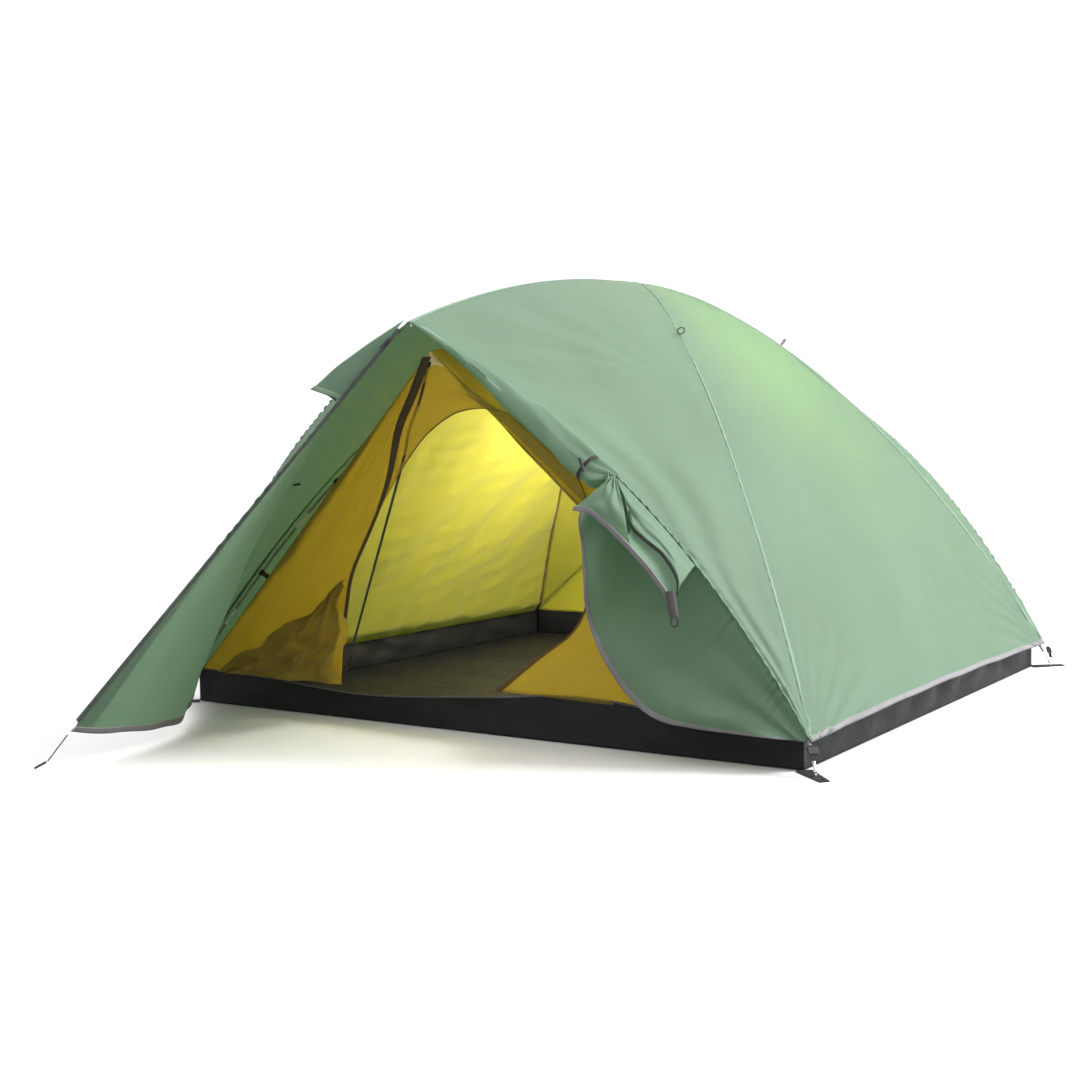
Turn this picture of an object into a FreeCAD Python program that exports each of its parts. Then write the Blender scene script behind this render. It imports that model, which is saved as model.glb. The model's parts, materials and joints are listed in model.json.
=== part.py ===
import FreeCAD, Part
import math
import os

V = FreeCAD.Vector

# A three-person dome tent: two crossing poles, a ridge pole, an inner tent and a fly.
# Millimetres. The origin is the middle of the floor, +Z up, -Y the open front door.

# Driving dimensions
FLOOR_LONG = 2100.0        # along X
FLOOR_WIDE = 1950.0        # along Y
CROWN_LOW = 1305.0         # centre of the lower main pole at the crossing
POLE_ARCS = [(295.5, 26.0), (394.0, 12.0), (443.25, 8.0), (443.25, 7.0), (492.5, 5.0)]
TUBE_R, BORE_R = 4.25, 2.7
SLEEVE_R, SLEEVE_BORE, SLEEVE_LONG = 5.2, 4.4, 60.0
CORD_R = 1.5
SECTION = 385.0            # length of one pole section
JOINT_GAP = 0.4
FOOT_Z = 16.0              # centre of the ball end above the ground
TAB_THICK = 3.0
RIDGE_HALF, RIDGE_TIP_Z = 1160.0, 1136.0
CLOTH = 1.2                # thickness that stands for any cloth panel
FLY_OUT = 12.0             # fly crease outside the centre of a pole
HEM_AT = 1965.0            # length down a pole at which the fly ends
INNER_IN = 60.0            # inner tent inside the centre of a pole
SEAM_RISE = 105.0          # how far the door seams arch above a straight line
SEAM_SKEW = 430.0          # how much more they arch in their lower half

HX, HY = FLOOR_LONG / 2, FLOOR_WIDE / 2
DIAG = math.hypot(HX, HY)
DX, DY = HX / DIAG, HY / DIAG
CROWN_HIGH = CROWN_LOW + 2 * TUBE_R + 2.5
CROWN_RIDGE = CROWN_HIGH + 2 * TUBE_R + 2.0
HALF_POLE = sum(length for length, turn in POLE_ARCS)
CORNERS = {"a": (-1, -1), "b": (1, -1), "c": (1, 1), "d": (-1, 1)}

os.makedirs("parts", exist_ok=True)


def save(node, solids):
    shape = solids[0] if len(solids) == 1 else Part.makeCompound(solids)
    shape.exportStep("parts/" + node + ".step")


def unit(vector):
    return vector * (1.0 / vector.Length)


# ---- pole curve -------------------------------------------------------------------

def pole_state(length):
    """Reach from the crown, drop below it and slope, at a length down one half pole."""
    reach, drop, angle, left = 0.0, 0.0, 0.0, abs(length)
    for arc_long, turn in POLE_ARCS:
        radius = arc_long / math.radians(turn)
        step = min(left, arc_long) / radius
        reach += radius * (math.sin(angle + step) - math.sin(angle))
        drop += radius * (math.cos(angle) - math.cos(angle + step))
        angle += step
        left -= arc_long
        if left <= 0:
            break
    return math.copysign(reach, length), drop, angle


def crown_of(corner):
    return CROWN_LOW if corner in "ac" else CROWN_HIGH


def pole_point(corner, length, out=0.0):
    """A point at a length down the pole towards a corner, moved out along its normal."""
    sx, sy = CORNERS[corner]
    reach, drop, angle = pole_state(length)
    reach += out * math.sin(angle) * (1 if length >= 0 else -1)
    return V(sx * DX * reach, sy * DY * reach, crown_of(corner) - drop + out * math.cos(angle))


def tangent(corner, length):
    sx, sy = CORNERS[corner]
    angle = pole_state(length)[2]
    fall = math.copysign(math.sin(angle), length)
    return V(sx * DX * math.cos(angle), sy * DY * math.cos(angle), -fall)


def outward(corner, length):
    return unit(pole_point(corner, length, 1.0) - pole_point(corner, length))


def foot_length(corner):
    """The length down the pole at which its centre reaches the ball end's height."""
    low, high = 0.0, HALF_POLE
    for _ in range(40):
        middle = (low + high) / 2
        if pole_point(corner, middle).z > FOOT_Z:
            low = middle
        else:
            high = middle
    return low


def pole_path(corner, start, end):
    """Tangent arcs from one length to another, negative lengths towards the far corner."""
    bounds, total = [], 0.0
    for length, turn in POLE_ARCS:
        total += length
        bounds += [total, -total]
    stops = [start] + sorted(b for b in bounds if start + 1 < b < end - 1) + [end]
    arcs = []
    for one, two in zip(stops, stops[1:]):
        points = [pole_point(corner, s) for s in (one, (one + two) / 2, two)]
        arcs.append(Part.Arc(*points).toShape())
    return Part.Wire(arcs)


def rod_between(one, two, radius):
    return Part.makeCylinder(radius, (two - one).Length, one, unit(two - one))


def tube(corner, start, end, outer, inner=0.0):
    """A tube, or a rod where the inner radius is 0, along a stretch of a pole."""
    path, at, along = pole_path(corner, start, end), pole_point(corner, start), tangent(corner, start)
    return sweep(path, at, along, outer, inner)


def sweep(path, at, along, outer, inner=0.0):
    solid = path.makePipeShell([Part.Wire([Part.makeCircle(outer, at, along)])], True, False)
    if inner:
        solid = solid.cut(path.makePipeShell([Part.Wire([Part.makeCircle(inner, at, along)])], True, False))
    return solid.Solids[0]


def prism(points, vector):
    """A flat convex piece of cloth: a polygon given a thickness along a vector."""
    face = Part.Face(Part.makePolygon(points + [points[0]]))
    return face.extrude(vector)


def block(centre, along, across, long, wide, thick):
    """A box about a centre, its length along one direction and its width across it."""
    along = unit(along)
    normal = unit(along.cross(across))
    across = normal.cross(along)
    low = centre - along * (long / 2) - across * (wide / 2) - normal * (thick / 2)
    corners = [low, low + along * long, low + along * long + across * wide, low + across * wide]
    return prism(corners, normal * thick)


def turned(solid):
    """The same piece at the rear of the tent: half a turn about the upright axis."""
    copy = solid.copy()
    copy.rotate(V(0, 0, 0), V(0, 0, 1), 180)
    return copy


def level(corner):
    """The horizontal direction square to the pole at a corner."""
    sx, sy = CORNERS[corner]
    return V(-sy * DY, sx * DX, 0) if sx * sy > 0 else V(sy * DY, -sx * DX, 0)


# ---- poles ------------------------------------------------------------------------

def main_pole(number, near, far):
    """A shock-corded pole: tube sections, a sleeve over each joint, two ball ends."""
    foot = foot_length(near)
    joints = [SECTION * (k - 4.5) for k in range(10)]
    ends = [-foot + 45] + joints + [foot - 45]
    sections = [tube(near, a + JOINT_GAP, b - JOINT_GAP, TUBE_R, BORE_R) for a, b in zip(ends, ends[1:])]
    save("main_pole_%d_sections" % number, sections)
    save("main_pole_%d_sleeves" % number,
         [tube(near, j - SLEEVE_LONG / 2, j + SLEEVE_LONG / 2, SLEEVE_R, SLEEVE_BORE) for j in joints])
    shock_cords.append(tube(near, -foot + 47, foot - 47, CORD_R))
    save("main_pole_%d_ends" % number, [pole_end(near), pole_end(far)])


def pole_end(corner):
    foot = foot_length(corner)
    ball, start = pole_point(corner, foot), pole_point(corner, foot - 44.5)
    end = rod_between(start, ball, TUBE_R).fuse(Part.makeSphere(TUBE_R + 1.2, ball))
    return end.fuse(Part.makeCylinder(2.5, FOOT_Z - 0.8, V(ball.x, ball.y, 0.8))).Solids[0]


def ridge_point(y, lift=0.0):
    rise = CROWN_RIDGE - RIDGE_TIP_Z
    radius = (RIDGE_HALF ** 2 + rise ** 2) / (2 * rise)
    return V(0, y, CROWN_RIDGE - radius + math.sqrt(radius ** 2 - y ** 2) + lift)


def ridge_tube(start, end, outer, inner=0.0):
    path = Part.Wire([Part.Arc(*[ridge_point(y) for y in (start, (start + end) / 2, end)]).toShape()])
    along = unit(ridge_point(start + 1) - ridge_point(start - 1))
    return sweep(path, ridge_point(start), along, outer, inner)


def ridge_pole():
    joints = [SECTION * (k - 2.5) for k in range(6)]
    ends = [-RIDGE_HALF + 20] + joints + [RIDGE_HALF - 20]
    save("ridge_pole_sections",
         [ridge_tube(a + JOINT_GAP, b - JOINT_GAP, TUBE_R, BORE_R) for a, b in zip(ends, ends[1:])])
    save("ridge_pole_sleeves",
         [ridge_tube(j - SLEEVE_LONG / 2, j + SLEEVE_LONG / 2, SLEEVE_R, SLEEVE_BORE) for j in joints])
    shock_cords.append(ridge_tube(-RIDGE_HALF + 22, RIDGE_HALF - 22, CORD_R))
    tip = ridge_tube(-RIDGE_HALF, -RIDGE_HALF + 19.5, TUBE_R).fuse(
        Part.makeSphere(TUBE_R + 1.0, ridge_point(-RIDGE_HALF))).Solids[0]
    save("ridge_pole_ends", [tip, turned(tip)])


def crown_clip():
    """A moulded block that the three poles snap through where they cross."""
    clip = Part.makeBox(34, 34, 40, V(-17, -17, CROWN_LOW - 10))
    for corner, height in (("a", CROWN_LOW), ("b", CROWN_HIGH)):
        along = V(CORNERS[corner][0] * DX, CORNERS[corner][1] * DY, 0)
        clip = clip.cut(Part.makeCylinder(TUBE_R + 0.7, 80, V(0, 0, height - 0.2) - along * 40, along))
    clip = clip.cut(Part.makeCylinder(TUBE_R + 0.4, 80, V(0, -40, CROWN_RIDGE), V(0, 1, 0)))
    clip = clip.common(Part.makeBox(34, 34, CROWN_RIDGE - CROWN_LOW + 10, V(-17, -17, CROWN_LOW - 10)))
    save("crown_clip", [max(clip.Solids, key=lambda s: s.Volume)])
    low = CROWN_LOW - INNER_IN + 3
    webbing.append(Part.makeBox(20, 2, CROWN_LOW - 10.5 - low, V(-10, -1, low)))


# ---- outer points of the fly ------------------------------------------------------

RIDGE_LIFT = 12.0          # fly above the centre of the ridge pole
FLY_STOPS = [150, 300, 500, 700, 1000, 1300, 1600, HEM_AT]
APEX = V(0, 0, CROWN_RIDGE + RIDGE_LIFT)
RIDGE_STOPS = [300, 600, 900]
SEAM_PARTS = [0.25, 0.5, 0.75]


def crease(corner, length):
    point = pole_point(corner, length, FLY_OUT)
    return V(point.x, point.y, point.z + CROWN_HIGH - crown_of(corner))


def ridge_tip(sy):
    return V(0, sy * 1175.0, 1143.0)


def seam(corner, part):
    """A point on the arched seam from the ridge tip down to the hem at a corner."""
    tip, end = ridge_tip(CORNERS[corner][1]), crease(corner, HEM_AT)
    rise = part * (1 - part) * (4 * SEAM_RISE + SEAM_SKEW * part)
    return tip + (end - tip) * part + V(0, 0, rise)


def cloth_vector(corner):
    sx, sy = CORNERS[corner]
    return unit(V(sx * 0.45, sy * 0.55, 0.70)) * CLOTH


CREST_HEM = V(-580, -1860, 94)
CREST_PEG = V(-632, -1924, 0)
HEM_SLACK = V(-670, -1405, 50)


def end_panel(near, far):
    """One end of the fly: strips between the creases over two pole ends."""
    vector = V(CORNERS[near][0] * 0.75, 0, 0.66) * CLOTH
    one, two = [APEX], [APEX]
    one += [crease(near, s) for s in FLY_STOPS]
    two += [crease(far, s) for s in FLY_STOPS]
    strips = [prism([APEX, one[1], two[1]], vector)]
    for k in range(1, len(one) - 1):
        strips.append(prism([one[k], one[k + 1], two[k + 1], two[k]], vector))
    drop = unit(one[-1] - one[-2]) * 20
    hem = prism([one[-1], one[-1] + drop, two[-1] + V(drop.x, -drop.y, drop.z), two[-1]], vector)
    return strips, hem


def body_panel(corner):
    """The fly between the ridge, one crease and one door seam, as a strip of triangles."""
    sy = CORNERS[corner][1]
    down = [crease(corner, s) for s in FLY_STOPS]
    other = [ridge_point(sy * y, RIDGE_LIFT) for y in RIDGE_STOPS] + [ridge_tip(sy)]
    other += [seam(corner, p) for p in SEAM_PARTS]
    triangles = [[APEX, down[0], other[0]]]
    for k, low in enumerate(other):
        triangles.append([down[k], down[k + 1], low])
        if k + 1 < len(other):
            triangles.append([down[k + 1], low, other[k + 1]])
    return [prism(t, cloth_vector(corner)) for t in triangles]


def side_panel(corner, crest, slack=None):
    """A vestibule side: a fan from the foot of the crest to the arched seam."""
    rim = [ridge_tip(CORNERS[corner][1])] + [seam(corner, p) for p in SEAM_PARTS]
    end = crease(corner, HEM_AT)
    triangles = [[crest, one, two] for one, two in zip(rim, rim[1:])]
    if slack:
        triangles += [[crest, rim[-1], slack], [slack, rim[-1], end]]
    else:
        triangles.append([crest, rim[-1], end])
    return [prism(t, cloth_vector(corner)) for t in triangles]


def fly():
    hems = []
    for name, near, far in (("right", "b", "c"), ("left", "a", "d")):
        strips, hem = end_panel(near, far)
        save("fly_end_" + name, strips)
        hems.append(hem)
    for corner, name in (("a", "front_left"), ("b", "front_right"), ("c", "rear_right"), ("d", "rear_left")):
        save("fly_body_" + name, body_panel(corner))
    save("fly_hem_tapes", hems)
    left = side_panel("a", CREST_HEM, HEM_SLACK)
    save("vestibule_front_left", left)
    save("vestibule_rear_right", [turned(s) for s in left])
    save("vestibule_rear_door", side_panel("d", V(-CREST_HEM.x, -CREST_HEM.y, CREST_HEM.z)))


# ---- the open front door ----------------------------------------------------------

ROLL_STOPS = [(0.05, 12.0), (0.18, 19.0), (0.32, 26.0), (0.42, 30.0), (0.52, 33.0)]
TIE_PART, TIE_ROLL_R = 0.49, 32.0
TIE_TOWARDS = (0.25, -0.9, 0.1)    # from the roll to its toggle
FLAP_FROM = 0.48                   # where the hanging flap starts, between two seam points


def roll_centre(part, radius):
    return seam("b", part) + unit(V(-0.1, -0.62, -0.78)) * (radius + 13)


def tie_at():
    return roll_centre(TIE_PART, TIE_ROLL_R)


def toggle_at():
    """The middle of the toggle on the tie loop."""
    return tie_at() + unit(V(*TIE_TOWARDS)) * (TIE_ROLL_R + 9)


def spare_toggle_at():
    """The toggle that hangs inside the left seam from its own elastic."""
    return seam("a", 0.5) + V(45, -5, -75)


def open_door():
    """The door rolled up under its seam, held by a loop, its lower part hanging."""
    points = [(roll_centre(p, r), r) for p, r in ROLL_STOPS]
    rolls = []
    for (one, r1), (two, r2) in zip(points, points[1:]):
        rolls.append(Part.makeCone(r1, r2, (two - one).Length, one, unit(two - one)))
        rolls.append(Part.makeSphere(r2, two))
    roll = rolls[0].multiFuse(rolls[1:-1]).Solids[0]
    save("door_roll", [roll])
    vector = cloth_vector("b")
    low_left, low, low_right = V(500, -1125, 365), V(670, -1125, 115), V(1010, -1060, 88)
    middle, lower, end = seam("b", SEAM_PARTS[1]), seam("b", SEAM_PARTS[2]), crease("b", HEM_AT)
    upper = middle + (lower - middle) * FLAP_FROM
    save("door_flap", [prism(t, vector) for t in
                       ([upper, low_left, low], [upper, low, lower], [lower, low, low_right],
                        [lower, low_right, end])])
    radius, along = TIE_ROLL_R + 3, unit(points[4][0] - points[3][0])
    band = Part.makeCylinder(radius + 1.5, 9, tie_at(), along)
    save("door_tie_loop", [band.cut(Part.makeCylinder(radius, 9, tie_at(), along))])
    save("door_toggle", [block(toggle_at(), V(0.3, 0.05, -1), V(1, 0, 0), 38, 6, 6)])
    save("spare_toggle", [block(spare_toggle_at(), V(1, -0.3, 0.1), V(0, 0, 1), 34, 6, 6)])


# ---- zips on the vestibule crest --------------------------------------------------

CREST_OUT = unit(V(-0.15, -0.80, 0.58))


def crest_zip():
    start, end = ridge_tip(-1), CREST_HEM
    along = unit(end - start)
    out = unit(CREST_OUT - along * CREST_OUT.dot(along))
    middle = (start + end) * 0.5 + out * 6
    tape = block(middle, along, along.cross(out), (end - start).Length - 60, 18, 1.6)
    slider_at = start + along * 75 + out * 10.5
    slider = block(slider_at, along, along.cross(out), 16, 11, 5)
    pull = block(slider_at + out * 3.6 + along * 13, along, along.cross(out), 30, 6, 1.6)
    stitch = block(slider_at + out * 2.9, along, along.cross(out), 6, 6, 2.0)
    slider = slider.fuse(pull).fuse(stitch).Solids[0]
    save("fly_zips", [tape, turned(tape)])
    save("fly_zip_slider_front", [slider])
    save("fly_zip_slider_rear", [turned(slider)])


def hood_point(down, aside, high):
    """A point by the crest: down it from the tip, aside on the left panel, high above that panel."""
    tip = ridge_tip(-1)
    along = unit(CREST_HEM - tip)
    out = unit((seam("a", 0.25) - tip).cross(along))
    return tip + along * down + along.cross(out) * aside + out * high


PROP_TOP, PROP_FOOT = hood_point(286, 40, 49), hood_point(283, 40, 9)


def vent_hoods():
    """A cloth hood over the vent beside the crest, its lip held off the fly by a folding prop."""
    top, crest, lip, side = (hood_point(0, 16, 14), hood_point(275, 16, 9), hood_point(305, 35, 63),
                             hood_point(255, 130, 9))
    vector = unit(V(-0.53, -0.55, 0.65)) * CLOTH
    hood = [prism([top, lip, crest], vector), prism([top, side, lip], vector)]
    save("vent_hood_front", hood)
    save("vent_hood_rear", [turned(s) for s in hood])
    slant = PROP_FOOT - PROP_TOP
    prop = block((PROP_TOP + PROP_FOOT) * 0.5, slant, unit(CREST_HEM - ridge_tip(-1)).cross(slant),
                 slant.Length, 12, 2)
    save("vent_prop_front", [prop])
    save("vent_prop_rear", [turned(prop)])


def crest_straps():
    """A strap from the foot of the crest to a hook that goes over a peg."""
    low = V(CREST_PEG.x + 14, CREST_PEG.y + 17, 22)
    start = CREST_HEM + V(-6, -8, -8)
    along = low - start
    strap = block((start + low) * 0.5, along, V(0.78, -0.63, 0), along.Length, 15, 1.6)
    tip = V(CREST_PEG.x - 8, CREST_PEG.y - 10, 5)
    way = unit(tip - low)
    hook = block(low + way * 20, way, V(0.78, -0.63, 0), 32, 14, 4)
    hook = hook.cut(Part.makeCylinder(3.2, 20, low + way * 24 - V(0, 0, 10), V(0, 0, 1)))
    save("crest_straps", [strap, turned(strap)])
    save("crest_hook_front", [hook])
    save("crest_hook_rear", [turned(hook)])


# ---- inner tent -------------------------------------------------------------------

INNER_STOPS = [300, 500, 700, 1000, 1300, 1600, 1850]
INNER_TOP = V(0, 0, CROWN_LOW - INNER_IN)
WALL_TOP = 108.0
FLOOR_THICK = 2.0


def inner_crease(corner, length):
    point = pole_point(corner, length, -INNER_IN)
    return V(point.x, point.y, point.z + CROWN_LOW - crown_of(corner))


def inner_foot(corner):
    sx, sy = CORNERS[corner]
    return V(sx * (HX - 6), sy * (HY - 5), WALL_TOP + 2)


def inner_peak(sy):
    return V(0, sy * 1081.0, 1070.0)


def inner_end(near, far):
    vector = V(CORNERS[near][0] * 0.8, 0, 0.6) * CLOTH
    one = [inner_crease(near, s) for s in INNER_STOPS] + [inner_foot(near)]
    two = [inner_crease(far, s) for s in INNER_STOPS] + [inner_foot(far)]
    strips = [prism([INNER_TOP, one[0], two[0]], vector)]
    for k in range(len(one) - 2):
        strips.append(prism([one[k], one[k + 1], two[k + 1], two[k]], vector))
    strips += [prism([one[-2], one[-1], two[-1]], vector), prism([one[-2], two[-1], two[-2]], vector)]
    return strips


def inner_roof(corner):
    """The inner tent between its crown, its front peak and one pole."""
    sy = CORNERS[corner][1]
    rim = [INNER_TOP] + [inner_crease(corner, s) for s in INNER_STOPS] + [inner_foot(corner)]
    return [prism([inner_peak(sy), one, two], cloth_vector(corner)) for one, two in zip(rim, rim[1:])]


def front_point(x, z):
    """A point on the plane of the inner tent's front wall."""
    low, high = inner_foot("a"), inner_peak(-1)
    return V(x, low.y + (high.y - low.y) * (z - low.z) / (high.z - low.z), z)


def inner_tent():
    save("inner_floor", [Part.makeBox(FLOOR_LONG, FLOOR_WIDE, FLOOR_THICK, V(-HX, -HY, 0))])
    high = WALL_TOP - FLOOR_THICK
    walls = [Part.makeBox(FLOOR_LONG, CLOTH, high, V(-HX, y, FLOOR_THICK)) for y in (-HY, HY - CLOTH)]
    short = FLOOR_WIDE - 2 * CLOTH
    walls += [Part.makeBox(CLOTH, short, high, V(x, -short / 2, FLOOR_THICK)) for x in (-HX, HX - CLOTH)]
    save("bathtub_walls", walls)
    save("inner_end_right", inner_end("b", "c"))
    save("inner_end_left", inner_end("a", "d"))
    for corner, name in (("a", "front_left"), ("b", "front_right"), ("c", "rear_right"), ("d", "rear_left")):
        save("inner_roof_" + name, inner_roof(corner))
    peak, left, right = inner_peak(-1), inner_foot("a"), inner_foot("b")
    vector = V(0, -CLOTH, 0)
    edge = [front_point(350, 690), front_point(400, 330), front_point(220, 200), front_point(220, 110)]
    pieces = [prism([peak, left, front_point(-450, 110)], vector), prism([peak, edge[0], right], vector)]
    pieces += [prism([one, two, right], vector) for one, two in zip(edge[:2], edge[1:3])]
    pieces.append(prism([edge[2], edge[3], right], vector))
    save("inner_front_wall", pieces)
    save("inner_rear_wall", [turned(prism([peak, left, right], vector))])
    low, long = V(-620, -1020, 205), 340
    save("inner_door_bundle", [block(low, V(1, 0, 0), V(0, 0, 1), long, 180, 40)])


def inner_zips():
    """Door zips of the inner tent, each with a slider on its straight edge."""
    top, low = front_point(-10, 1040), front_point(-440, 130)
    along = unit(low - top)
    wide = V(0, 1, 0).cross(along)
    tape = block((top + low) * 0.5 + V(6, 2.5, 0), along, wide, (low - top).Length, 8, 1.4)
    at = low + V(6, 8.0, 0) - along * 60
    slider = block(at, along, wide, 14, 9, 5)
    slider = slider.fuse(block(at + V(0, 3.2, 0) + along * 12, along, wide, 26, 5, 1.4))
    save("inner_zips", [tape, turned(tape)])
    save("inner_zip_slider_front", [slider.Solids[0]])
    save("inner_zip_slider_rear", [turned(slider.Solids[0])])


# ---- clips, corners and loops -----------------------------------------------------

CLIP_STOPS = [420, 800, 1180, 1560]
STRAP_TOP, STRAP_LOW = 1992.0, 2031.0
PEG_OUT = 36.0             # peg eyelet beyond the pole's foot
GUY_AT, GUY_LIFT = 560.0, 16.0


def pole_clips(corner):
    """Snap clips round a pole, each with a webbing tab down to the inner tent."""
    for s in CLIP_STOPS:
        at, along, out = pole_point(corner, s), tangent(corner, s), outward(corner, s)
        start = at - along * 9
        clip = Part.makeCylinder(TUBE_R + 2.6, 18, start, along)
        clip = clip.fuse(block(at - out * 10, along, along.cross(out), 14, 5, 12))
        clip = clip.cut(Part.makeCylinder(TUBE_R + 0.35, 24, at - along * 12, along))
        clips.append(clip.Solids[0])
        near, far = 16.4, INNER_IN - 6
        webbing.append(block(at - out * ((near + far) / 2), out, along, far - near, 15, 1.6))


def ridge_clips():
    for y in (-1040.0, 1040.0):
        at = ridge_point(y)
        along = unit(ridge_point(y + 1) - ridge_point(y - 1))
        clip = Part.makeCylinder(TUBE_R + 2.6, 18, at - along * 9, along)
        clip = clip.fuse(block(at - V(0, 0, 10), V(0, 1, 0), V(1, 0, 0), 14, 5, 12))
        clips.append(clip.cut(Part.makeCylinder(TUBE_R + 0.4, 24, at - along * 12, along)).Solids[0])
        webbing.append(block(at - V(0, 0, 42), V(0, 0, 1), V(0, 1, 0), 50, 15, 1.6))


def corner_set(corner):
    """The floor tab with its eyelets, and the fly's strap with a sliding buckle."""
    sx, sy = CORNERS[corner]
    away, side = V(sx * DX, sy * DY, 0), level(corner)
    foot = pole_point(corner, foot_length(corner))
    reach = math.hypot(foot.x, foot.y)
    outline = [away * (DIAG + 1) + side * 21, away * (reach + 52) + side * 13,
               away * (reach + 52) - side * 13, away * (DIAG + 1) - side * 21]
    tab = prism(outline, V(0, 0, TAB_THICK))
    tab = tab.cut(Part.makeCylinder(3.3, 10, V(foot.x, foot.y, -2)))
    tab = tab.cut(Part.makeCylinder(6.0, 10, away * (reach + PEG_OUT) - V(0, 0, 2)))
    tabs.append(tab.Solids[0])
    lift = 13.0 + CROWN_HIGH - crown_of(corner)
    top, low = pole_point(corner, STRAP_TOP, lift), pole_point(corner, STRAP_LOW, 12.0)
    out = unit(side.cross(low - top))
    out = out if out.z > 0 else out * -1
    straps.append(block((top + low) * 0.5, low - top, side, (low - top).Length, 20, 1.6))
    middle = top + (low - top) * 0.35
    frame = block(middle, low - top, side, 18, 27, 6).cut(block(middle, low - top, side, 30, 21.5, 2.8))
    save("strap_buckle_" + corner, [frame.Solids[0]])


def guy_loops():
    loops = []
    for corner in CORNERS:
        at = crease(corner, GUY_AT) + outward(corner, GUY_AT) * GUY_LIFT
        loops.append(Part.makeTorus(11, 1.6, at, tangent(corner, GUY_AT)))
    save("guy_loops", loops)


shock_cords, clips, webbing, tabs, straps = [], [], [], [], []
main_pole(1, "a", "c")
main_pole(2, "b", "d")
ridge_pole()
crown_clip()
fly()
open_door()
crest_zip()
vent_hoods()
crest_straps()
inner_tent()
inner_zips()
for name in CORNERS:
    pole_clips(name)
    corner_set(name)
ridge_clips()
guy_loops()
for node, solids in (("shock_cords", shock_cords), ("pole_clips", clips), ("clip_webbing", webbing),
                     ("corner_tabs", tabs), ("corner_straps", straps)):
    save(node, solids)
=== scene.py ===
# %% [markdown]
# # A dome tent on crossed poles
# The tent has three layers: a pole frame, a yellow inner tent clipped under it, and a green fly
# stretched over it. The frame's metal and plastic come packed, in metres, and stay where they
# are. This file makes the cloth, its seams and bindings, and every finish.

# %% Load the fixed frame
import json
import math

import bpy
import numpy as np
from mathutils import Matrix, Vector


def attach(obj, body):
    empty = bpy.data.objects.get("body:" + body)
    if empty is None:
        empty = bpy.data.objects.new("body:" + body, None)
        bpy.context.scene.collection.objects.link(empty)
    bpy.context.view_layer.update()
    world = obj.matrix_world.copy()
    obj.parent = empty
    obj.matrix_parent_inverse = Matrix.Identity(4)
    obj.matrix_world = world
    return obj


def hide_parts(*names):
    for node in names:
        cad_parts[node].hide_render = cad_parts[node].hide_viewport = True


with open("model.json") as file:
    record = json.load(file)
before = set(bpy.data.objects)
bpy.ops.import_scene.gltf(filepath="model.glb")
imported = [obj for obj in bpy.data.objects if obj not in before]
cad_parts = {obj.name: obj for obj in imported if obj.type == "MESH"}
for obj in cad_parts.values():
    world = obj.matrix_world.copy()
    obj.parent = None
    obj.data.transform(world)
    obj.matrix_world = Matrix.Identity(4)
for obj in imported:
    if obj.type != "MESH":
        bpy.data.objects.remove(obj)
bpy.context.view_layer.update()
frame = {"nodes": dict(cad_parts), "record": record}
bpy.ops.object.select_all(action="DESELECT")

# %% [markdown]
# ## The camera
# It stands low, off the front right corner, so the open door and one long end both show. A
# normal lens of about 50 mm keeps the poles' curve true.

# %% Camera
LENS_MM = 50.2
EYE = Vector((2.557, -4.358, 0.812))
YAW, PITCH, ROLL = 0.592, 0.064, -0.016
camera = bpy.data.objects.new("camera", bpy.data.cameras.new("camera"))
bpy.context.collection.objects.link(camera)
camera.data.lens = LENS_MM
camera.matrix_world = (
    Matrix.Translation(EYE)
    @ Matrix.Rotation(YAW, 4, "Z")
    @ Matrix.Rotation(math.radians(90) - PITCH, 4, "X")
    @ Matrix.Rotation(ROLL, 4, "Z")
)
bpy.context.scene.camera = camera

# %% [markdown]
# ## Floor and light
# A plain pale floor and a white surround that is brightest overhead, so faces near the ground
# stay darker. A broad key lamp hangs high on the right, and makes the long end of the fly the
# brightest face. A soft lamp inside stands for the daylight that thin cloth lets through.

# %% Floor, surround and lamps
bpy.ops.mesh.primitive_plane_add(size=60, location=(0, 0, -0.001))
ground = bpy.context.object
ground.name = "floor"
bpy.ops.object.select_all(action="DESELECT")

world = bpy.data.worlds.new("surround")
world.use_nodes = True
sky = world.node_tree
direction = sky.nodes.new("ShaderNodeTexCoord")
upward = sky.nodes.new("ShaderNodeSeparateXYZ")
fade = sky.nodes.new("ShaderNodeMapRange")
seen = sky.nodes.new("ShaderNodeLightPath")
strength = sky.nodes.new("ShaderNodeMix")
sky.links.new(direction.outputs["Generated"], upward.inputs[0])
sky.links.new(upward.outputs[2], fade.inputs[0])
LOW, TOP, DIM, BRIGHT = -0.2, 1.0, 0.12, 1.55      # directions, and the light from them
WHITE = 1.08                   # what the camera itself sees behind the tent
for slot, value in zip(fade.inputs[1:5], (LOW, TOP, DIM, BRIGHT)):
    slot.default_value = value
sky.links.new(seen.outputs["Is Camera Ray"], strength.inputs[0])
sky.links.new(fade.outputs[0], strength.inputs[2])
strength.inputs[3].default_value = WHITE
sky.links.new(strength.outputs[0], sky.nodes["Background"].inputs["Strength"])
sky.nodes["Background"].inputs["Color"].default_value = (1, 1, 1, 1)
bpy.context.scene.world = world
bpy.context.scene.view_settings.view_transform = "Standard"


def lamp(name, place, aim, size, watts):
    """A square soft lamp that looks at a point."""
    data = bpy.data.lights.new(name, "AREA")
    data.size, data.energy = size, watts
    thing = bpy.data.objects.new(name, data)
    thing.matrix_world = Matrix.Translation(place) @ (
        (Vector(aim) - Vector(place)).to_track_quat("-Z", "Y").to_matrix().to_4x4()
    )
    bpy.context.collection.objects.link(thing)


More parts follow.
